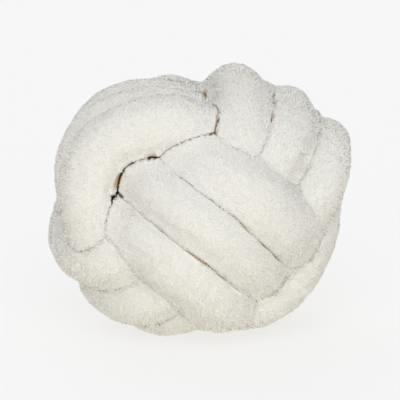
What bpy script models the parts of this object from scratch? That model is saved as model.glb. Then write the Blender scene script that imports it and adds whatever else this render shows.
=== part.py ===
"""Knot cushion: one long stuffed tube, tied as a ball knot with three turns in each of three bands.

Metres, +Z up. The origin is on the floor, under the middle of the ball. The photographed side faces -Y.
"""

from collections import namedtuple

import bmesh
import bpy
import numpy as np

MM = 0.001

# The ball stands on a small flat spot. Its centre is this far above the floor.
BALL_CENTRE = (1.1, -0.5, 125.3)
CUTTER_SIZE = 400.0

# The knot's own axes, as the photograph shows them from 12 degrees above the floor: across the picture to
# the right, up the picture, and out of it towards the camera. The front strands run along "along".
CAMERA_RISE_DEG = 12.0
FRONT_AXIS = (0.083, -0.293, 0.952)
ALONG_AXIS = (0.805, -0.537, -0.257)

# A strand is seen over this angle on each side of the middle of its pass. Between passes it dives into the
# ball as far as INNER_REACH, where it is squeezed thinner and towards the middle of its band.
SHOULDER_DEG = 46.0
INNER_REACH = 60.0
INNER_RADIUS = 24.0
INNER_SQUEEZE = 0.65
END_REACH = 20.0

# One row for each strand of a band on one side of the ball, in millimetres. The reach is how far the middle
# line stands from the ball's centre as the strand enters the pass, at its crown and as it leaves. The lane
# is its place across the band at those three. Strands are pressed to their own half width there. The lean
# turns the whole pass on along its strand, in degrees.
Pass = namedtuple("Pass", "reach_in crown reach_out lane_in lane_mid lane_out half_width lean", defaults=(0,))
HALF_THICKNESS = 27.0

# axes: the way the band faces, the way it dives, and the way its strands lie side by side
Band = namedtuple("Band", "facing diving across near far")
ALONG, UP, FRONT = 0, 1, 2

BANDS = [
    Band(
        facing=FRONT,
        diving=ALONG,
        across=UP,
        near=[
            Pass(75, 100, 102, 38, 50, 34, 36),
            Pass(93, 114, 99, 3, 4, -7, 27),
            Pass(82, 108, 96, -38, -42, -55, 34),
        ],
        far=[
            Pass(98, 102, 98, 50, 52, 50, 29),
            Pass(107, 113, 107, 0, 0, 0, 29),
            Pass(98, 102, 98, -50, -52, -50, 29),
        ],
    ),
    Band(
        facing=ALONG,
        diving=UP,
        across=FRONT,
        near=[
            Pass(83, 101, 103, 62, 61, 38, 30),
            Pass(102, 112, 102, 6, 4, -10, 29),
            Pass(101, 101, 98, -46, -50, -56, 30),
        ],
        far=[
            Pass(92, 116, 97, 62, 53, 54, 33, 4),
            Pass(88, 119, 101, 2, -7, -16, 29, 6),
            Pass(82, 112, 93, -50, -56, -62, 29, 6),
        ],
    ),
    Band(
        facing=UP,
        diving=FRONT,
        across=ALONG,
        near=[
            Pass(90, 107, 100, -26, -31, -19, 30),
            Pass(105, 118, 102, 23, 20, 17, 27),
            Pass(100, 112, 91, 74, 69, 69, 29),
        ],
        far=[
            Pass(102, 101, 98, -46, -76, -68, 31),
            Pass(110, 117, 106, 2, -27, -22, 31),
            Pass(101, 108, 103, 34, 16, 22, 29),
        ],
    ),
]

# The spline's knots grow with this power of the distance between stations, which keeps its bends even.
KNOT_POWER = 0.75
SAMPLES_PER_STATION = 60
POINT_SPACING = 9.0
TUBE_SIDES_LEVEL = 4
WELD = 0.01

# The skin's grid, how far its creases are eased, and the share of its triangles that stays
SKIN_VOXEL = 4.0
EASE_FACTOR = 0.5
EASE_STEPS = 3
SKIN_SHARE = 0.18

CLOTH_COLOUR = (0.80, 0.78, 0.73, 1.0)
CLOTH_ROUGHNESS = 0.95


def knot_axes():
    """The knot's three axes as unit rows in the part's frame, in the order along, up, front."""
    rise = np.radians(CAMERA_RISE_DEG)
    picture = np.array([[1, 0, 0], [0, np.sin(rise), np.cos(rise)], [0, -np.cos(rise), np.sin(rise)]])
    front = np.array(FRONT_AXIS) / np.linalg.norm(FRONT_AXIS)
    along = np.array(ALONG_AXIS) - front * np.dot(ALONG_AXIS, front)
    along /= np.linalg.norm(along)
    return np.array([along, np.cross(front, along), front]) @ picture


def place(band, facing, diving, across):
    point = np.zeros(3)
    point[band.facing] = facing
    point[band.diving] = diving
    point[band.across] = across
    return point


def pass_stations(band, strand, side):
    """Three stations of one pass: where it comes up, its crown, and where it goes down."""
    stations = []
    for reach, lane, turn in (
        (strand.reach_in, strand.lane_in, -SHOULDER_DEG),
        (strand.crown, strand.lane_mid, 0.0),
        (strand.reach_out, strand.lane_out, SHOULDER_DEG),
    ):
        angle = np.radians(turn + strand.lean)
        point = place(band, side * reach * np.cos(angle), side * reach * np.sin(angle), lane)
        stations.append((*point, (strand.half_width + HALF_THICKNESS) / 2))
    return stations


def tube_stations():
    """All stations of the tube in the order in which it is tied, each as three places and a radius."""
    first = BANDS[0]
    last = BANDS[-1]
    stations = [(*place(first, 0, -END_REACH, first.near[0].lane_in), INNER_RADIUS)]
    for band in BANDS:
        passes = [(strand, side) for pair in zip(band.near, band.far) for strand, side in zip(pair, (1, -1))]
        for (strand, side), after in zip(passes, passes[1:] + [None]):
            stations += pass_stations(band, strand, side)
            if after:
                lane = INNER_SQUEEZE * (strand.lane_out + after[0].lane_in) / 2
                stations.append((*place(band, 0, side * INNER_REACH, lane), INNER_RADIUS))
    stations.append((*place(last, 0, -END_REACH, last.far[-1].lane_out), INNER_RADIUS))
    return np.array(stations)


def natural_spline(knots, values, at):
    """A curve through the values that is smooth to its second derivative and straight at both ends."""
    count = len(knots)
    gap = np.diff(knots)
    slope = np.diff(values, axis=0) / gap[:, None]
    system = np.eye(count)
    right = np.zeros_like(values)
    inner = np.arange(1, count - 1)
    system[inner, inner - 1] = gap[:-1]
    system[inner, inner] = 2 * (gap[:-1] + gap[1:])
    system[inner, inner + 1] = gap[1:]
    right[1:-1] = 6 * np.diff(slope, axis=0)
    bend = np.linalg.solve(system, right)
    k = np.clip(np.searchsorted(knots, at, side="right") - 1, 0, count - 2)
    after = (at - knots[k])[:, None]
    step = gap[k][:, None]
    before = step - after
    cubic = (bend[k] * before**3 + bend[k + 1] * after**3) / (6 * step)
    line = (values[k] / step - bend[k] * step / 6) * before
    line += (values[k + 1] / step - bend[k + 1] * step / 6) * after
    return cubic + line


def tube_route():
    """Evenly spaced points along the tube's middle line in the part's frame, and the radius at each."""
    stations = tube_stations()
    legs = np.linalg.norm(np.diff(stations[:, :3], axis=0), axis=1)
    knots = np.concatenate([[0.0], np.cumsum(legs**KNOT_POWER)])
    fine = np.linspace(0, knots[-1], SAMPLES_PER_STATION * len(knots))
    line = natural_spline(knots, stations[:, :3], fine)
    run = np.concatenate([[0.0], np.cumsum(np.linalg.norm(np.diff(line, axis=0), axis=1))])
    even = np.interp(np.linspace(0, run[-1], int(run[-1] / POINT_SPACING)), run, fine)
    points = natural_spline(knots, stations[:, :3], even) @ knot_axes() + np.array(BALL_CENTRE)
    return points, np.interp(even, knots, stations[:, 3])


def cloth_material():
    material = bpy.data.materials.new("looped_pile_cloth")
    material.use_nodes = True
    shader = material.node_tree.nodes["Principled BSDF"]
    shader.inputs["Base Color"].default_value = CLOTH_COLOUR
    shader.inputs["Roughness"].default_value = CLOTH_ROUGHNESS
    shader.inputs["Metallic"].default_value = 0.0
    return material


def stuffed_tube(parts):
    """The tube as a bevelled curve, made a mesh with its end caps welded on."""
    points, radii = tube_route()
    curve = bpy.data.curves.new("knot_route", "CURVE")
    curve.dimensions = "3D"
    curve.bevel_depth = MM
    curve.bevel_resolution = TUBE_SIDES_LEVEL
    curve.use_fill_caps = True
    spline = curve.splines.new("POLY")
    spline.points.add(len(points) - 1)
    for point, place_mm, radius in zip(spline.points, points, radii):
        point.co = (*(place_mm * MM), 1.0)
        point.radius = radius
    guide = bpy.data.objects.new("knot_route", curve)
    parts.objects.link(guide)
    depsgraph = bpy.context.evaluated_depsgraph_get()
    mesh = bpy.data.meshes.new_from_object(guide.evaluated_get(depsgraph))
    cage = bmesh.new()
    cage.from_mesh(mesh)
    bmesh.ops.remove_doubles(cage, verts=cage.verts, dist=WELD * MM)
    cage.to_mesh(mesh)
    cage.free()
    tube = bpy.data.objects.new("knot_cushion", mesh)
    tube.matrix_world = guide.matrix_world.copy()
    parts.objects.link(tube)
    bpy.data.objects.remove(guide)
    bpy.data.curves.remove(curve)
    return tube


def floor_cutter(cutters):
    """A block under the floor that trims the flat spot."""
    block = bpy.data.objects.new("floor_cutter", bpy.data.meshes.new("floor_cutter"))
    cage = bmesh.new()
    bmesh.ops.create_cube(cage, size=CUTTER_SIZE * MM)
    bmesh.ops.translate(cage, verts=cage.verts, vec=(0.0, 0.0, -CUTTER_SIZE * MM / 2))
    cage.to_mesh(block.data)
    cage.free()
    block.display_type = "WIRE"
    block.hide_render = True
    cutters.objects.link(block)
    return block


def add_skin(tube, cutter):
    """One outer skin over the crossing strands, eased, thinned to what its curves need and cut flat at the floor."""
    skin = tube.modifiers.new("Skin", "REMESH")
    skin.mode = "VOXEL"
    skin.voxel_size = SKIN_VOXEL * MM
    skin.use_smooth_shade = True
    ease = tube.modifiers.new("Ease creases", "SMOOTH")
    ease.factor = EASE_FACTOR
    ease.iterations = EASE_STEPS
    thin = tube.modifiers.new("Thin", "DECIMATE")
    thin.ratio = SKIN_SHARE
    flat = tube.modifiers.new("Flat spot", "BOOLEAN")
    flat.operation = "DIFFERENCE"
    flat.solver = "EXACT"
    flat.object = cutter


def main():
    for old in list(bpy.data.objects):
        bpy.data.objects.remove(old)
    parts = bpy.data.collections.new("Knot cushion")
    cutters = bpy.data.collections.new("Cutters")
    for group in (parts, cutters):
        bpy.context.scene.collection.children.link(group)
    tube = stuffed_tube(parts)
    tube.data.materials.append(cloth_material())
    add_skin(tube, floor_cutter(cutters))


main()
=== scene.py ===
from collections import namedtuple

import bpy
import numpy as np
from mathutils import Matrix


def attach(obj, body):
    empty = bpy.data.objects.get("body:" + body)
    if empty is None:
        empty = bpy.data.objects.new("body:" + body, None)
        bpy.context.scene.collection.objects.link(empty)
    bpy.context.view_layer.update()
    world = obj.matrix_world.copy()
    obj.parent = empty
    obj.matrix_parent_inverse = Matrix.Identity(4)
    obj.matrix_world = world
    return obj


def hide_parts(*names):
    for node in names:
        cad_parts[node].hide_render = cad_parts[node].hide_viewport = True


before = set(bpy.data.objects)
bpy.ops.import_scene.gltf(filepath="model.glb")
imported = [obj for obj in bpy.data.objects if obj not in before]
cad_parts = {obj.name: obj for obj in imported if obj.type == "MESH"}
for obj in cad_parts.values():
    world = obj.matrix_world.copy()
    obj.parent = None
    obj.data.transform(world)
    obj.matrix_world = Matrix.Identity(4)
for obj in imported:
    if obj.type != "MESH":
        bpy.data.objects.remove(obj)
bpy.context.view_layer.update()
mm = 0.001
tiny = 1e-9  # keeps a division away from nought
print("frame: ready")

# The tube's route has the solid's own stations, in millimetres from the ball's centre, along the knot's axes.
knot = {
    "ballCentre": (1.1, -0.5, 125.3),
    "viewRise": 12.0,  # degrees above the floor from which the two axes below are told
    "frontAxis": (0.083, -0.293, 0.952),  # right, up and towards the viewer
    "alongAxis": (0.805, -0.537, -0.257),
    "shoulder": 46.0,  # degrees from a pass's crown to where its strand starts to dive
    "halfThickness": 27.0,
    "innerReach": 60.0,  # between passes a strand dives as far as this
    "innerHalfWidth": 24.0,
    "innerHalfThickness": 19.0,
    "innerSqueeze": 0.65,  # and comes this much closer to the middle of its band
    "endReach": 20.0,
    "endHalf": 24.0,
    "knotPower": 0.75,  # the spline's measure t grows with this power of each leg's length
    "finePerStation": 80,
    "nudge": 0.01,  # step in t that shows which way the line runs
    "outwardFrom": 0.3,  # the section turns away from the centre where this much of that way crosses the line
    "outwardOver": 0.5,
}

# reach from the ball's centre and lane across the band, as a strand enters its pass, at its crown and as it
# leaves, then its half width there and how many degrees the whole pass is turned on along its strand
strand = namedtuple("strand", "reachIn crown reachOut laneIn laneMid laneOut halfWidth lean", defaults=(0,))
band = namedtuple("band", "name facing diving across near far")
along, up, front = 0, 1, 2

bands = [
    band(
        "front",
        facing=front,
        diving=along,
        across=up,
        near=[
            strand(75, 100, 102, 38, 50, 34, 36),
            strand(93, 114, 99, 3, 4, -7, 27),
            strand(82, 108, 96, -38, -42, -55, 34),
        ],
        far=[
            strand(98, 102, 98, 50, 52, 50, 29),
            strand(107, 113, 107, 0, 0, 0, 29),
            strand(98, 102, 98, -50, -52, -50, 29),
        ],
    ),
    band(
        "side",
        facing=along,
        diving=up,
        across=front,
        near=[
            strand(83, 101, 103, 62, 61, 38, 30),
            strand(102, 112, 102, 6, 4, -10, 29),
            strand(101, 101, 98, -46, -50, -56, 30),
        ],
        far=[
            strand(92, 116, 97, 62, 53, 54, 33, 4),
            strand(88, 119, 101, 2, -7, -16, 29, 6),
            strand(82, 112, 93, -50, -56, -62, 29, 6),
        ],
    ),
    band(
        "top",
        facing=up,
        diving=front,
        across=along,
        near=[
            strand(90, 107, 100, -26, -31, -19, 30),
            strand(105, 118, 102, 23, 20, 17, 27),
            strand(100, 112, 91, 74, 69, 69, 29),
        ],
        far=[
            strand(102, 101, 98, -46, -76, -68, 31),
            strand(110, 117, 106, 2, -27, -22, 31),
            strand(101, 108, 103, 34, 16, 22, 29),
        ],
    ),
]


def unit(vectors):  # each vector over its own length
    return vectors / np.maximum(np.linalg.norm(vectors, axis=-1, keepdims=True), tiny)


def squared(vectors, ahead):  # what is left of each vector square to the way ahead
    return vectors - ahead * np.sum(vectors * ahead, axis=-1, keepdims=True)


def ramp(value, start, over):  # 0 up to the start, then evenly up to 1; over a negative stretch it runs down
    return np.clip((value - start) / over, 0, 1)


def viewAxes():  # rows right, up and towards the viewer, in the frame
    rise = np.radians(knot["viewRise"])
    return np.array([[1, 0, 0], [0, np.sin(rise), np.cos(rise)], [0, -np.cos(rise), np.sin(rise)]])


def knotAxes():  # rows along, up and front: the two told axes, squared up, and turned into the frame
    frontRow = unit(np.array(knot["frontAxis"]))
    alongRow = np.array(knot["alongAxis"]) - frontRow * np.dot(knot["alongAxis"], frontRow)
    alongRow = unit(alongRow)
    return np.array([alongRow, np.cross(frontRow, alongRow), frontRow]) @ viewAxes()


def station(group, facing, diving, across, halfWidth, halfThickness):
    # one row: the place along the knot's axes, the unit vector across the band, and the section's half sizes
    place = np.zeros(3)
    place[[group.facing, group.diving, group.across]] = facing, diving, across
    return np.concatenate([place, np.eye(3)[group.across], [halfWidth, halfThickness]])


def tubeStations():
    # every station in tying order, and where each turn of the tube starts and ends among them. A pass has
    # three, at their angles from the crown: reach times cosine outwards, and reach times sine along its dive.
    end = 0, -knot["endReach"]
    endHalves = knot["endHalf"], knot["endHalf"]
    innerHalves = knot["innerHalfWidth"], knot["innerHalfThickness"]
    shoulder = knot["shoulder"]
    rows = [station(bands[0], *end, bands[0].near[0].laneIn, *endHalves)]
    cuts = [0.0]
    for group in bands:
        passes = [(one, side) for pair in zip(group.near, group.far) for one, side in zip(pair, (1, -1))]
        for (one, side), after in zip(passes, passes[1:] + [None]):
            for reach, lane, turn in (
                (one.reachIn, one.laneIn, -shoulder),
                (one.crown, one.laneMid, 0),
                (one.reachOut, one.laneOut, shoulder),
            ):
                angle = np.radians(turn + one.lean)
                facing = side * reach * np.cos(angle)
                diving = side * reach * np.sin(angle)
                rows.append(station(group, facing, diving, lane, one.halfWidth, knot["halfThickness"]))
            if after:
                lane = knot["innerSqueeze"] * (one.laneOut + after[0].laneIn) / 2
                rows.append(station(group, 0, side * knot["innerReach"], lane, *innerHalves))
            if side == -1:  # a turn ends after its far pass, or halfway from there to the next band
                cuts.append(len(rows) - 1 if after else len(rows) - 0.5)
    rows.append(station(bands[-1], *end, bands[-1].far[-1].laneOut, *endHalves))
    cuts[-1] = len(rows) - 1
    return np.array(rows), np.array(cuts, float)


def naturalSpline(knots, values, at):  # cubic pieces that agree in slope and bend, with no bend at both ends
    count = len(knots)
    gap = np.diff(knots)
    slope = np.diff(values, axis=0) / gap[:, None]
    system = np.eye(count)
    right = np.zeros_like(values)
    inner = np.arange(1, count - 1)
    system[inner, inner - 1] = gap[:-1]
    system[inner, inner] = 2 * (gap[:-1] + gap[1:])
    system[inner, inner + 1] = gap[1:]
    right[1:-1] = 6 * np.diff(slope, axis=0)
    bend = np.linalg.solve(system, right)
    k = np.clip(np.searchsorted(knots, at, side="right") - 1, 0, count - 2)
    after = (at - knots[k])[:, None]
    step = gap[k][:, None]
    before = step - after
    cubic = (bend[k] * before**3 + bend[k + 1] * after**3) / (6 * step)
    line = (values[k] / step - bend[k] * step / 6) * before
    line += (values[k + 1] / step - bend[k + 1] * step / 6) * after
    return cubic + line


class tubeRoute:  # the middle line as a spline through the stations, with the section's own ways along it
    def __init__(self):
        rows, cuts = tubeStations()
        self.places = rows[:, :3]
        self.rest = rows[:, 3:]
        legs = np.linalg.norm(np.diff(self.places, axis=0), axis=1)
        self.knots = np.concatenate([[0.0], np.cumsum(legs ** knot["knotPower"])])
        self.cuts = np.interp(cuts, np.arange(len(rows)), self.knots)
        self.fine = np.linspace(0, self.knots[-1], knot["finePerStation"] * len(rows))
        line = naturalSpline(self.knots, self.places, self.fine)
        self.run = np.concatenate([[0.0], np.cumsum(np.linalg.norm(np.diff(line, axis=0), axis=1))])
        self.reach = np.linalg.norm(line, axis=1)

    def at(self, t):
        # middle, sideways and outward ways, half sizes and length run at each t. Outward is the way from the
        # centre, squared to the line; where the line itself runs that way, it is square to the way across.
        middle = naturalSpline(self.knots, self.places, t)
        ahead = unit(naturalSpline(self.knots, self.places, t + knot["nudge"]) - middle)
        extra = np.stack([np.interp(t, self.knots, column) for column in self.rest.T], axis=1)
        across = unit(squared(extra[:, :3], ahead))
        outward = squared(unit(middle), ahead)
        trust = ramp(np.linalg.norm(outward, axis=1, keepdims=True), knot["outwardFrom"], knot["outwardOver"])
        plain = np.cross(ahead, across)
        plain *= np.where(np.sum(plain * outward, axis=1, keepdims=True) < 0, -1, 1)
        outward = unit(plain * (1 - trust) + unit(outward) * trust)
        return middle, np.cross(outward, ahead), outward, extra[:, 3:5], np.interp(t, self.fine, self.run)


# the cloth, in millimetres; its crowding is 1 where it would just touch the plane towards a neighbour
cloth = {
    "rowStep": 2.4,  # along the tube where it shows
    "innerStep": 10.0,  # and inside the ball
    "showsFrom": 72.0,  # reach of the middle line from which a strand shows
    "showsOver": 12.0,
    "surfaceShowsFrom": 80.0,  # reach of the cloth itself from which it shows
    "sides": 76,
    "sideCrowding": 0.45,  # how much closer the points lie on the outward side
    "startUnder": 3.6,  # the cloth starts this much smaller, before its stuffing's pressure works
    "pressFirmness": 40.0,  # higher presses neighbours to sharper edges
    "pressGap": (0.0, 0.15),  # least and most, wandering along the creases
    "gapCell": 26.0,
    "gapSeed": 5,
    "gapFrom": 0.95,  # crowding from which a gap counts
    "foldFrom": 0.98,  # and from which a crease does
    "lumpsUntil": 1.02,  # and at which lumps and the pile's inset end
    "fadeOver": 0.1,  # crowding over which each of the three comes or goes
    "sampleStep": 4.0,
    "ownLength": 75.0,  # stretch of the tube that doesn't press on itself
    "farthest": 100.0,
    "rowsAtOnce": 40,
    "lumpCell": 42.0,
    "lumpDepth": 1.4,
    "lumpSeed": 3,
    "fineLumpSeed": 4,
    "fineLumpShare": 0.5,  # finer lumps, this deep against the broad ones
    "fineLumpSplit": 2.3,  # and this many times smaller
    "tuftCell": 5.0,
    "tuftDepth": 0.8,
    "tuftSeed": 6,
    "pileInset": 0.8,  # the backing cloth lies this far under the loops' middle height
}

noiseCells = 32


def between(values, place, eased):  # a cubic grid's value at each place, mixed from its eight neighbours
    base = np.floor(place).astype(int)
    share = place - base
    if eased:
        share = share * share * (3 - 2 * share)
    total = np.zeros(place.shape[:-1])
    for corner in np.ndindex(2, 2, 2):
        i, j, k = np.moveaxis((base + corner) % len(values), -1, 0)
        total += np.prod(np.where(corner, share, 1 - share), axis=-1) * values[i, j, k]
    return total


def lattice(points, cell, seed):  # smooth noise from -1 to 1: random values on a cubic grid, eased in between
    values = np.random.default_rng(seed).uniform(-1, 1, (noiseCells,) * 3)
    return between(values, points / cell, True)


# Stretches of crease where neighbours stand apart, as the view shows them: right and up from the ball's
# centre at one end and at the other, how far around them the gap fades, and the gap. Below 0 they press past
# each other, and the crease turns soft and shallow.
partings = [
    (-75, 2, -75, 2, 4, 6.0),
    (-75, 6, -71, 25, 5, 1.2),
    (-71, 25, -61, 34, 5, 0.7),
    (-76, -4, -81, -34, 5, 0.8),
    (-44, 37, -44, 37, 4, 2.0),
    (-43, 38, -20, 52, 5, 0.35),
    (10, 103, 17, 84, 5, 1.4),
    (15, 78, 13, 61, 5, 1.2),
    (73, 98, 71, 75, 7, 0.9),
    (71, 75, 58, 43, 6, 0.6),
    (-42, 33, 15, 0, 6, 0.3),
    (18, -4, 48, -32, 7, 0.75),
    (50, -34, 86, -67, 6, 0.9),
    (-34, -28, -12, -48, 7, 0.75),
    (-12, -48, 33, -87, 7, 1.0),
    (40, -90, 79, -81, 7, 0.7),
    (-99, -83, -66, -78, 6, 0.8),
    (-106, -42, -83, -41, 6, 0.5),
    (-55, -115, -28, -106, 6, 1.3),
    (-88, -38, -66, -72, 7, -1.5),
    (-60, -82, -40, -98, 6, -1.5),
    (112, -12, 118, -28, 8, -1.5),
    (116, -32, 92, -62, 7, -1.5),
    (50, -98, 47, -124, 7, -2.5),
]

filling = {
    "cell": 3.5,  # millimetres
    "halfGrid": 47,  # cells from the ball's centre to the grid's side
    "spread": 11.0,  # how far the filling evens out
    "level": 0.405,  # how full a place is where the cloth lies; lower fills the grooves higher
    "from": -5.0,  # searched from here to there above the oval section, in even steps
    "to": 13.0,
    "steps": 13,
    "leastFall": 1e-6,  # of the filling over a step, where the level is still looked for
    "easing": 2.0,
}

# samples along the tube, with their places, half sizes and lengths run, and how full the ball is of them
stuffing = namedtuple("stuffing", "spots sizes runs field")


def fillingField(spots, sizes):
    # how full each cell of a cubic grid is: 1 within the tube and 0 outside, blurred by a bell curve each way
    cell = filling["cell"]
    axis = np.arange(-filling["halfGrid"], filling["halfGrid"] + 1) * cell
    gap = np.full((len(axis),) * 3, cell)
    for spot, size in zip(spots, sizes):
        low = np.searchsorted(axis, spot - size - cell)
        high = np.searchsorted(axis, spot + size + cell)
        cut = tuple(slice(a, b) for a, b in zip(low, high))
        x, y, z = np.ix_(*[axis[part] - middle for part, middle in zip(cut, spot)])
        gap[cut] = np.minimum(gap[cut], np.sqrt(x * x + y * y + z * z) - size)
    field = np.clip(0.5 - gap / cell, 0, 1)
    blur = np.exp(-((axis[:, None] - axis[None]) ** 2) / (2 * filling["spread"] ** 2))
    blur /= blur.sum(axis=1, keepdims=True)
    for _ in range(3):  # each time the first axis is blurred and becomes the last
        field = np.tensordot(field, blur, axes=(0, 1))
    return field


def filled(field, middle, ways, oval):
    # the oval, let out to where the blurred filling falls to its level along each ray
    rise = np.linspace(filling["from"], filling["to"], filling["steps"])
    radius = oval[..., None] + rise
    points = middle[:, None, None] + ways[:, :, None] * radius[..., None]
    over = between(field, points / filling["cell"] + filling["halfGrid"], False) - filling["level"]
    inside = np.cumprod(over > 0, axis=2)
    last = np.clip(inside.sum(axis=2) - 1, 0, len(rise) - 2)
    here = np.take_along_axis(over, last[..., None], axis=2)[..., 0]
    there = np.take_along_axis(over, last[..., None] + 1, axis=2)[..., 0]
    share = np.clip(here / np.maximum(here - there, filling["leastFall"]), 0, 1)
    out = rise[last] + share * (rise[1] - rise[0])
    return oval + (out + np.sqrt(out**2 + filling["easing"] ** 2)) / 2  # never below the oval, softly


def crowding(samples, middle, run, half, ways, free):
    # the free radius over the distance, along each ray, to the nearest plane between this stretch of the tube
    # and another. On that plane the squared distances to both, less their squared sizes, are the same.
    own = half.mean(axis=1)
    inverse = np.empty_like(free)
    for start in range(0, len(run), cloth["rowsAtOnce"]):
        rows = slice(start, start + cloth["rowsAtOnce"])
        away = samples.spots[None] - middle[rows, None]
        square = np.sum(away**2, axis=2)
        apart = np.abs(run[rows, None] - samples.runs[None]) > cloth["ownLength"]
        meets = apart & (square < cloth["farthest"] ** 2)
        share = (square + own[rows, None] ** 2 - samples.sizes[None] ** 2) / 2
        towards = np.einsum("ruk,rsk->rus", ways[rows], away)
        near = np.where(meets[:, None] & (towards > 0), towards / np.maximum(share, 1)[:, None], 0)
        inverse[rows] = near.max(axis=2)
    return free * inverse


def gapAt(seen):
    # a little gap that wanders along the creases, or near a parting its own gap if that is wider, which fades
    # around it as a bell curve; gaps below 0 are added. Only what faces the viewer is parted.
    least, most = cloth["pressGap"]
    gap = least + (most - least) * np.clip(lattice(seen, cloth["gapCell"], cloth["gapSeed"]), 0, 1)
    for *ends, reach, width in partings:
        start = np.array(ends[:2])
        stretch = np.array(ends[2:]) - start
        away = seen[..., :2] - start
        share = np.clip(away @ stretch / max(stretch @ stretch, 1), 0, 1)
        square = np.sum((away - share[..., None] * stretch) ** 2, axis=-1)
        here = width * np.exp(-square / (2 * reach**2)) * (seen[..., 2] > 0)
        gap = np.maximum(gap, here) if width > 0 else gap + here
    return gap


def tubeGrid(route, samples, t, sides, swollen=0):
    # middle plus a ray all round times the free radius, softly held back where neighbours crowd it beyond 1.
    # In creases the fold goes from -1 where they press to 1 where they stand a millimetre or more apart.
    middle, sideways, outward, half, run = route.at(t)
    u = np.arange(sides) / sides  # a half is the outward side
    angle = 2 * np.pi * u + cloth["sideCrowding"] * np.sin(2 * np.pi * u)
    across = np.sin(angle)
    out = -np.cos(angle)
    ways = across[None, :, None] * sideways[:, None] + out[None, :, None] * outward[:, None]
    oval = 1 / np.sqrt((across / half[:, :1]) ** 2 + (out / half[:, 1:]) ** 2)
    free = filled(samples.field, middle, ways, oval) - cloth["startUnder"] + swollen
    crowd = crowding(samples, middle, run, half, ways, free)
    firm = cloth["pressFirmness"]
    radius = free * (1 + crowd**firm) ** (-1 / firm)
    gap = gapAt((middle[:, None] + ways * radius[..., None]) @ knotAxes() @ viewAxes().T)
    radius = radius - gap * ramp(crowd, cloth["gapFrom"], cloth["fadeOver"])
    fold = ramp(crowd, cloth["foldFrom"], cloth["fadeOver"]) * (2 * np.clip(gap, 0, 1) - 1)
    return middle[:, None] + ways * radius[..., None], ways, crowd, fold


def stepsAlong(route, first, last, shown, hidden):
    # places along the route a step apart: shown millimetres where the tube shows, and hidden ones inside
    inside = (route.fine >= first) & (route.fine <= last)
    shows = ramp(route.reach[inside], cloth["showsFrom"], cloth["showsOver"])
    step = hidden * (1 - shows) + shown * shows
    count = np.concatenate([[0], np.cumsum(np.diff(route.run[inside]) / step[1:])])
    t = np.interp(np.linspace(0, count[-1], int(count[-1])), count, route.fine[inside])
    t[0], t[-1] = first, last
    return t


def turnSurface(route, samples, swelling, first, last):
    # one turn of the pressed tube, moved along its normal by two sizes of lumps and by tufts
    t = stepsAlong(route, first, last, cloth["rowStep"], cloth["innerStep"])
    surface, ways, crowd, fold = tubeGrid(route, samples, t, cloth["sides"], swellAt(swelling, t))
    alongWay = np.gradient(surface, axis=0)
    roundWay = np.roll(surface, -1, axis=1) - np.roll(surface, 1, axis=1)
    normal = unit(np.cross(alongWay, roundWay))
    if np.sum(normal * ways) < 0:
        normal = -normal
    lump = lattice(surface, cloth["lumpCell"], cloth["lumpSeed"])
    fineCell = cloth["lumpCell"] / cloth["fineLumpSplit"]
    lump = lump + cloth["fineLumpShare"] * lattice(surface, fineCell, cloth["fineLumpSeed"])
    tuft = lattice(surface, cloth["tuftCell"], cloth["tuftSeed"])
    rise = cloth["lumpDepth"] * lump + cloth["tuftDepth"] * tuft - cloth["pileInset"]
    rise = rise * ramp(crowd, cloth["lumpsUntil"], -cloth["fadeOver"])
    return surface + normal * rise[..., None], normal, crowd, fold


def meshPiece(name, points, faceSets, attributes):  # from points in millimetres and arrays of corner numbers
    mesh = bpy.data.meshes.new(name)
    mesh.vertices.add(len(points))
    mesh.vertices.foreach_set("co", (points * mm).astype(np.float32).ravel())
    corners = np.concatenate([faces.ravel() for faces in faceSets])
    sizes = np.concatenate([np.full(len(faces), faces.shape[1]) for faces in faceSets])
    mesh.loops.add(len(corners))
    mesh.loops.foreach_set("vertex_index", corners.astype(np.int32))
    mesh.polygons.add(len(sizes))
    mesh.polygons.foreach_set("loop_start", (np.cumsum(sizes) - sizes).astype(np.int32))
    mesh.polygons.foreach_set("loop_total", sizes.astype(np.int32))
    mesh.update(calc_edges=True)
    mesh.polygons.foreach_set("use_smooth", np.ones(len(sizes), bool))
    for key, values in attributes.items():
        layer = mesh.attributes.new(key, "FLOAT", "POINT")
        layer.data.foreach_set("value", values.astype(np.float32))
    piece = bpy.data.objects.new(name, mesh)
    bpy.context.scene.collection.objects.link(piece)
    return piece


def closedTube(name, surface, attributes):
    # the grid as quads, with a fan of triangles round the middle of each end. All faces are turned round if
    # the cross products of their diagonals point into the tube.
    rows, sides = surface.shape[:2]
    here = np.arange(rows * sides).reshape(rows, sides)
    nextSide = np.roll(here, -1, axis=1)
    quads = np.stack([here[:-1], nextSide[:-1], nextSide[1:], here[1:]], axis=-1).reshape(-1, 4)
    first = np.stack([nextSide[0], here[0], np.full(sides, rows * sides)], axis=1)
    last = np.stack([here[-1], nextSide[-1], np.full(sides, rows * sides + 1)], axis=1)
    points = np.concatenate([surface.reshape(-1, 3), surface[[0, -1]].mean(axis=1)])
    a, b, c, d = (points[quads[:, i]] for i in range(4))
    away = (a + b + c + d) / 4 - np.repeat(surface.mean(axis=1)[:-1], sides, axis=0)
    if np.sum(np.cross(c - a, d - b) * away) < 0:
        quads, first, last = quads[:, ::-1], first[:, ::-1], last[:, ::-1]
    values = {key: np.concatenate([grid.ravel(), [0, 0]]) for key, grid in attributes.items()}
    return meshPiece(name, points, [quads, first, last], values)


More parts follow.
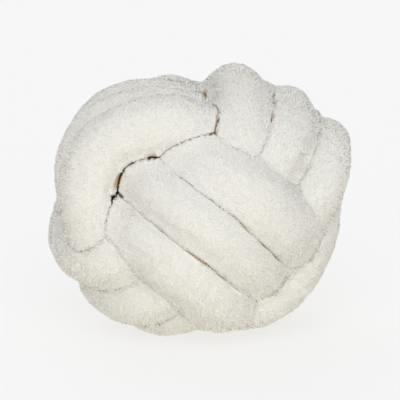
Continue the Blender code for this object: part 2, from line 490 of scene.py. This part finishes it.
# the stuffing's pressure: a coarse tube, blown up as cloth
swell = {
    "rowStep": 6.5,
    "innerStep": 20.0,
    "sides": 32,
    "pressure": 4.0,
    "slack": 0.02,  # how much longer the cloth is than its stuffing's outline
    "frames": 20,
    "cap": 4.0,  # millimetres
    "waves": 5,  # how many waves round the tube are kept
    "evened": 3,  # times that neighbours along the tube are evened out
    "heldFrom": 1.0,  # crowding from which the cloth is held by its neighbour
    "beyond": 40.0,  # how far past a turn's ends, in t, its spline still follows the map
}


def blownUp(piece, held):  # the piece's points after the pressure has worked on all but the held ones
    group = piece.vertex_groups.new(name="held")
    group.add(np.flatnonzero(held).tolist(), 1.0, "REPLACE")
    blow = piece.modifiers.new("Blow", "CLOTH")
    blow.settings.use_pressure = True
    blow.settings.uniform_pressure_force = swell["pressure"]
    blow.settings.shrink_min = -swell["slack"]
    blow.settings.vertex_group_mass = "held"
    blow.settings.effector_weights.gravity = 0
    blow.point_cache.frame_start = 1
    blow.point_cache.frame_end = swell["frames"]
    for number in range(1, swell["frames"] + 1):
        bpy.context.scene.frame_set(number)
    after = piece.evaluated_get(bpy.context.evaluated_depsgraph_get()).data
    points = np.empty(len(after.vertices) * 3, np.float32)
    after.vertices.foreach_get("co", points)
    bpy.context.scene.frame_set(1)
    mesh = piece.data
    bpy.data.objects.remove(piece)
    bpy.data.meshes.remove(mesh)
    return points.reshape(-1, 3).astype(float) / mm


def swellingMap(route, samples):
    # how far the pressure moves each point of a coarse grid along its ray, between nothing and the cap, then
    # evened along the tube: half of its own and a quarter of both neighbours'
    t = stepsAlong(route, 0, route.knots[-1], swell["rowStep"], swell["innerStep"])
    surface, ways, crowd, _ = tubeGrid(route, samples, t, swell["sides"])
    shows = np.linalg.norm(surface, axis=2) > cloth["surfaceShowsFrom"]
    held = ~shows | (crowd > swell["heldFrom"])
    piece = closedTube("blown_tube", surface, {})
    after = blownUp(piece, np.concatenate([held.ravel(), [True, True]]))[:-2].reshape(surface.shape)
    moved = np.clip(np.sum((after - surface) * ways, axis=2), 0, swell["cap"])
    mean = moved[~held].mean()
    print(f"cushion: pressure moved the cloth by up to {moved.max():.1f} mm, {mean:.1f} mm on average")
    for _ in range(swell["evened"]):
        moved[1:-1] = moved[:-2] / 4 + moved[1:-1] / 2 + moved[2:] / 4
    return t, moved


def swellAt(swelling, t):
    # the coarse map on the fine grid: its few broad waves round the tube, and a spline along it
    places, moved = swelling
    waves = np.fft.rfft(moved, axis=1)[:, : swell["waves"] + 1]
    fine = np.fft.irfft(waves, n=cloth["sides"], axis=1) * cloth["sides"] / moved.shape[1]
    near = (places > t[0] - swell["beyond"]) & (places < t[-1] + swell["beyond"])
    return naturalSpline(places[near], fine[near], t)


# the pile: a small arched loop of yarn for each few square millimetres that show
loops = {
    "perTurn": 17000,
    "seed": 11,
    "long": (2.2, 4.0),  # from foot to foot
    "high": (0.9, 2.0),
    "atMouth": 1.4,  # how much higher they are at a crease's mouth
    "yarn": 1.0,
    "footWidth": 0.55,  # share of the yarn's width at a loop's feet
    "topWidth": 0.45,  # and what its top adds to that
    "tipShade": (0.3, 1.0),  # how pale a loop's top is
    "lean": 0.6,
    "sink": 0.3,
    "restInset": 0.4,  # where it rests, they lie this far inside the flat cloth
    "steps": 2,
    "deepest": 1.05,  # crowding beyond which no loops stand
    "mouthFrom": 0.93,  # crowding from which a crease's mouth begins
    "uprightFrom": 0.95,
    "uprightOver": 0.04,
    "moreAtMouth": 3.5,  # times as many as elsewhere
    "partedFrom": 0.3,
    "fewerInPartings": 0.3,
    "steep": 0.9,  # upward part of a normal from which "right" serves as a helper way and not "up"
}


def loopSeeds(surface, normal, crowd, fold, random):
    # places spread evenly over the area that shows: equal steps through the running sum of its quads' areas
    nextSide = np.roll(surface, -1, axis=1)
    area = np.linalg.norm(np.cross(nextSide[1:] - surface[:-1], surface[1:] - nextSide[:-1]), axis=-1) / 2
    middle = (surface[:-1] + nextSide[1:]) / 2
    outside = np.linalg.norm(middle, axis=-1) > cloth["surfaceShowsFrom"]
    crowded = np.where(crowd > loops["mouthFrom"], loops["moreAtMouth"], 1) * (crowd < loops["deepest"])
    crowded = crowded * np.where(fold > loops["partedFrom"], loops["fewerInPartings"], 1)
    total = np.cumsum((area * outside * crowded[:-1]).ravel())
    count = loops["perTurn"]
    at = (np.arange(count) + random.uniform(0, 1, count)) * total[-1] / count
    row, side = np.divmod(np.searchsorted(total, at), surface.shape[1])
    u, v = random.uniform(0, 1, (2, count, 1))
    # at a crease's mouth they stand straight out of the ball
    upright = ramp(crowd, loops["uprightFrom"], loops["uprightOver"])[..., None]
    normal = normal * (1 - upright) + unit(surface) * upright
    spots = []
    for grid in (surface, normal, crowd[..., None], fold[..., None]):
        turned = np.roll(grid, -1, axis=1)
        low = grid[row, side] * (1 - v) + turned[row, side] * v
        high = grid[row + 1, side] * (1 - v) + turned[row + 1, side] * v
        spots.append(low * (1 - u) + high * u)
    print(f"cushion: one loop to {total[-1] / count:.1f} square millimetres")
    return spots[0], unit(spots[1]), spots[2][..., None], spots[3][..., None]


def loopStrips(spots, normals, crowd, fold, random):
    # half an ellipse from foot to foot: half the length times the turn's cosine, and the height times its
    # sine. It leans to a side and is a strip as wide as the yarn, thinner at its feet.
    count = len(spots)
    spin = random.uniform(0, 2 * np.pi, (count, 1))
    helper = np.where(np.abs(normals[:, 2:]) < loops["steep"], (0, 0, 1), (1, 0, 0))
    first = unit(np.cross(normals, helper))
    second = np.cross(normals, first)
    ahead = first * np.cos(spin) + second * np.sin(spin)
    aside = np.cross(normals, ahead)
    rise = unit(normals + aside * random.uniform(-loops["lean"], loops["lean"], (count, 1)))
    half = random.uniform(*loops["long"], (count, 1, 1)) / 2
    high = random.uniform(*loops["high"], (count, 1, 1))
    high = high * np.where(crowd > loops["mouthFrom"], loops["atMouth"], 1)
    turn = np.linspace(0, np.pi, loops["steps"] + 1)[None, :, None]
    line = spots[:, None] + ahead[:, None] * half * np.cos(turn)
    line = line + rise[:, None] * high * np.sin(turn) - normals[:, None] * loops["sink"]
    wide = loops["yarn"] / 2 * (loops["footWidth"] + loops["topWidth"] * np.sin(turn))
    strips = np.stack([line - aside[:, None] * wide, line + aside[:, None] * wide], axis=2)
    # the tip runs from 0 at the feet to 1 at the top, for the painted shade at the feet
    tip = np.broadcast_to(np.sin(turn)[..., None], strips.shape[:3] + (1,))[..., 0]
    shade = random.uniform(*loops["tipShade"], (count, 1, 1))
    return strips, tip * shade, np.broadcast_to(fold, tip.shape)


def pilePiece(name, strips, tip, fold):  # every strip as a row of quads
    count, steps = strips.shape[0], strips.shape[1] - 1
    here = np.arange(count * (steps + 1) * 2).reshape(count, steps + 1, 2)
    quads = np.stack([here[:, :-1, 0], here[:, 1:, 0], here[:, 1:, 1], here[:, :-1, 1]], axis=-1)
    values = {"tip": tip.ravel(), "fold": fold.ravel()}
    return meshPiece(name, strips.reshape(-1, 3), [quads.reshape(-1, 4)], values)


class shaderWire:  # one output socket: a sum, difference or product of wires and numbers adds a Math node
    def __init__(self, tree, socket):
        self.tree = tree
        self.socket = socket

    def maths(self, operation, first, second):
        return self.tree.node("ShaderNodeMath", {"operation": operation}, {0: first, 1: second})

    def __add__(self, other):
        return self.maths("ADD", self, other)

    def __radd__(self, other):
        return self.maths("ADD", other, self)

    def __sub__(self, other):
        return self.maths("SUBTRACT", self, other)

    def __rsub__(self, other):
        return self.maths("SUBTRACT", other, self)

    def __mul__(self, other):
        return self.maths("MULTIPLY", self, other)

    def __rmul__(self, other):
        return self.maths("MULTIPLY", other, self)


class shaderTree:  # the nodes of a material or a world, and its shader
    def __init__(self, owner, shader):
        owner.use_nodes = True
        self.owner = owner
        self.nodes = owner.node_tree.nodes
        self.links = owner.node_tree.links
        self.shader = self.nodes[shader]

    def fill(self, node, values):  # a wire is linked to its socket, and anything else is its value
        for key, value in values.items():
            if isinstance(value, shaderWire):
                self.links.new(value.socket, node.inputs[key])
            else:
                node.inputs[key].default_value = value

    def node(self, kind, settings, values, output=0):
        made = self.nodes.new(kind)
        for key, value in settings.items():
            setattr(made, key, value)
        self.fill(made, values)
        return shaderWire(self, made.outputs[output])

    def attribute(self, name):
        return self.node("ShaderNodeAttribute", {"attribute_name": name}, {}, "Fac")

    def mix(self, factor, first, second):  # a colour between two; the node's colour sockets go by number
        return self.node("ShaderNodeMix", {"data_type": "RGBA"}, {0: factor, 6: first, 7: second}, 2)

    def smooth(self, value, low, high):  # 0 below low, 1 above high, eased between
        settings = {"interpolation_type": "SMOOTHSTEP"}
        return self.node("ShaderNodeMapRange", settings, {"Value": value, "From Min": low, "From Max": high})


pile = {
    "crest": (0.88, 0.877, 0.845, 1.0),
    # crest is the yarn's ivory; root is painted shade, darker at the loops' feet, on the backing and round
    # the curls' edges
    "root": (0.8, 0.79, 0.745, 1.0),
    "crestAt": 0.9,  # from 0 to this, loop tips, curls, fibres and patches together turn root into crest
    "partedShade": (0.47, 0.36, 0.24, 1.0),  # painted shade: dark brown in creases where neighbours stand apart
    "partedAt": 0.8,
    "curlScale": 420.0,
    "curlShade": 0.5,
    "fibreScale": 1400.0,
    "fibreDetail": 3.0,
    "fibreShade": 0.3,
    "fibreHeight": 0.6,
    "patchScale": 22.0,
    "patchDetail": 2.0,
    "patchShade": 0.2,
    "bumpStrength": 0.5,
    "bumpDistance": 0.0006,  # metres
    "roughness": 0.9,
    "fibreRoughness": 0.1,
    "specular": 0.2,
    "sheen": 0.1,
    "sheenRoughness": 0.5,
}


def pileCloth():
    # curls are smooth distances to the middles of cells, and fibres and patches are fine and broad noise. The
    # pile is palest at its loops' tips and in the middle of curls and darker at their feet, on the backing
    # and round the curls'
    # edges: painted shade. Fibres lighten it where the bump rises, painted shade and uneven tone at once,
    # patches add uneven tone, and a parted crease is painted dark brown shade.
    tree = shaderTree(bpy.data.materials.new("ivory_looped_pile"), "Principled BSDF")
    place = tree.node("ShaderNodeTexCoord", {}, {}, "Object")
    cells = {"Vector": place, "Scale": pile["curlScale"]}
    curl = tree.node("ShaderNodeTexVoronoi", {"feature": "SMOOTH_F1"}, cells)
    fine = {"Vector": place, "Scale": pile["fibreScale"], "Detail": pile["fibreDetail"]}
    fibre = tree.node("ShaderNodeTexNoise", {}, fine)
    broad = {"Vector": place, "Scale": pile["patchScale"], "Detail": pile["patchDetail"]}
    patch = tree.node("ShaderNodeTexNoise", {}, broad)
    tip = tree.attribute("tip")
    fold = tree.attribute("fold")
    shade = tip - pile["curlShade"] * curl + pile["fibreShade"] * fibre + pile["patchShade"] * patch
    crest = tree.smooth(shade, 0.0, pile["crestAt"])
    # painted shade: root at the loops' feet, on the backing and round the curls' edges, crest at their tops
    colour = tree.mix(crest, pile["root"], pile["crest"])
    # painted shade: dark brown where a crease is parted
    colour = tree.mix(tree.smooth(fold, 0.0, pile["partedAt"]), colour, pile["partedShade"])
    height = pile["fibreHeight"] * fibre - curl
    lift = {"Height": height, "Strength": pile["bumpStrength"], "Distance": pile["bumpDistance"]}
    bump = tree.node("ShaderNodeBump", {}, lift)
    roughness = pile["roughness"] + pile["fibreRoughness"] * fibre
    tree.fill(tree.shader, {"Base Color": colour, "Roughness": roughness, "Normal": bump})
    tree.fill(tree.shader, {"Specular IOR Level": pile["specular"]})
    tree.fill(tree.shader, {"Sheen Weight": pile["sheen"], "Sheen Roughness": pile["sheenRoughness"]})
    return tree.owner


def dress(piece, material):  # its material, and the solid that it stands for
    piece.data.materials.append(material)
    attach(piece, "root")
    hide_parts("knot_cushion")
    print(f"cushion: {piece.name} has {len(piece.data.polygons)} faces")


def makeCushion():
    # each turn of the tube and its pile, worked out along the knot's axes from the ball's centre, then turned
    # into the frame and moved to the ball's place
    route = tubeRoute()
    spotT = np.interp(np.arange(0, route.run[-1], cloth["sampleStep"]), route.run, route.fine)
    spots, _, _, spotHalf, spotRun = route.at(spotT)
    samples = stuffing(spots, spotHalf.mean(axis=1), spotRun, fillingField(spots, spotHalf[:, 1]))
    print("cushion: route and filling")
    swelling = swellingMap(route, samples)
    material = pileCloth()
    turn = knotAxes()
    place = np.array(knot["ballCentre"])
    random = np.random.default_rng(loops["seed"])
    names = [f"{group.name}_{number}" for group in bands for number in (1, 2, 3)]
    for name, first, last in zip(names, route.cuts[:-1], route.cuts[1:]):
        surface, normal, crowd, fold = turnSurface(route, samples, swelling, first, last)
        strips, *values = loopStrips(*loopSeeds(surface, normal, crowd, fold, random), random)
        for grid, least in ((surface, 0), (strips, loops["restInset"])):
            grid[:] = grid @ turn + place
            grid[..., 2] = np.maximum(grid[..., 2], least)  # flat where it rests
        # the backing's tip is 0, so it takes the root's painted shade
        dress(closedTube(f"turn_{name}", surface, {"tip": np.zeros(fold.shape), "fold": fold}), material)
        dress(pilePiece(f"pile_{name}", strips, *values), material)


makeCushion()

# floor, light and camera, in metres
studio = {
    "floorHalf": 12.0,
    "floorDrop": 0.0003,
    "floorColour": (0.3, 0.3, 0.3, 1.0),
    "floorGlow": 0.628,
    "glowColour": (1.0, 1.0, 1.0, 1.0),
    "above": (0.67, 0.67, 0.675, 1.0),
    "below": (1.17, 1.12, 1.0, 1.0),
    "horizon": (-0.8, 0.4),  # heights of a look's unit vector between which below turns into above
    "sunSpread": 60.0,  # degrees
    "suns": {  # where each comes from, and its strength
        "key": ((0.05, -1.0, 0.58), 1.36),
        "back": ((-0.3, 1.0, 0.6), 0.7),
    },
    "distance": 2.0,
    "lens": 184.8,  # millimetres
    "aimRight": 0.97,  # millimetres from the ball's centre to the middle of the picture
    "aimUp": -0.49,
}


def paleFloor():  # even and matt, with a glow of its own that keeps the cushion's shadow faint
    tree = shaderTree(bpy.data.materials.new("pale_floor"), "Principled BSDF")
    tree.fill(tree.shader, {"Base Color": studio["floorColour"], "Roughness": 1.0, "Specular IOR Level": 0.0})
    tree.fill(tree.shader, {"Emission Color": studio["glowColour"], "Emission Strength": studio["floorGlow"]})
    return tree.owner


def makeFloor():  # one square, a little under the cushion
    half = studio["floorHalf"]
    drop = -studio["floorDrop"]
    corners = [(-half, -half, drop), (half, -half, drop), (half, half, drop), (-half, half, drop)]
    mesh = bpy.data.meshes.new("floor")
    mesh.from_pydata(corners, [], [(0, 1, 2, 3)])
    floor = bpy.data.objects.new("floor", mesh)
    floor.data.materials.append(paleFloor())
    bpy.context.scene.collection.objects.link(floor)
    floor.visible_diffuse = False  # the studio's own low light reaches the cushion's underside instead


def lookAt(item, place, aim):  # the item's -Z points from its place to the aim, with its +Y upwards
    back = unit(np.array(place, float) - np.array(aim, float))
    right = unit(np.cross((0, 0, 1), back))
    matrix = np.eye(4)
    matrix[:3, :3] = np.array([right, np.cross(back, right), back]).T
    matrix[:3, 3] = place
    item.matrix_world = Matrix(matrix)


def makeLight():  # a world whose colour changes with the height of a look, and two wide suns
    tree = shaderTree(bpy.data.worlds.new("studio"), "Background")
    way = tree.node("ShaderNodeTexCoord", {}, {}, "Generated")
    height = tree.node("ShaderNodeSeparateXYZ", {}, {"Vector": way}, "Z")
    colour = tree.mix(tree.smooth(height, *studio["horizon"]), studio["below"], studio["above"])
    tree.fill(tree.shader, {"Color": colour})
    bpy.context.scene.world = tree.owner
    bpy.context.scene.view_settings.view_transform = "Standard"
    for name, (place, strength) in studio["suns"].items():
        light = bpy.data.lights.new(name, "SUN")
        light.angle = np.radians(studio["sunSpread"])
        light.energy = strength
        sun = bpy.data.objects.new(name, light)
        bpy.context.scene.collection.objects.link(sun)
        lookAt(sun, place, (0, 0, 0))


def makeCamera():  # aimed beside the ball's centre, from its distance towards the viewer
    right, upward, towards = viewAxes()
    aim = np.array(knot["ballCentre"]) + studio["aimRight"] * right + studio["aimUp"] * upward
    lens = bpy.data.cameras.new("camera")
    lens.lens = studio["lens"]
    camera = bpy.data.objects.new("camera", lens)
    bpy.context.scene.collection.objects.link(camera)
    lookAt(camera, aim * mm + towards * studio["distance"], aim * mm)
    bpy.context.scene.camera = camera


makeFloor()
makeLight()
makeCamera()
print("studio: floor, light and camera")
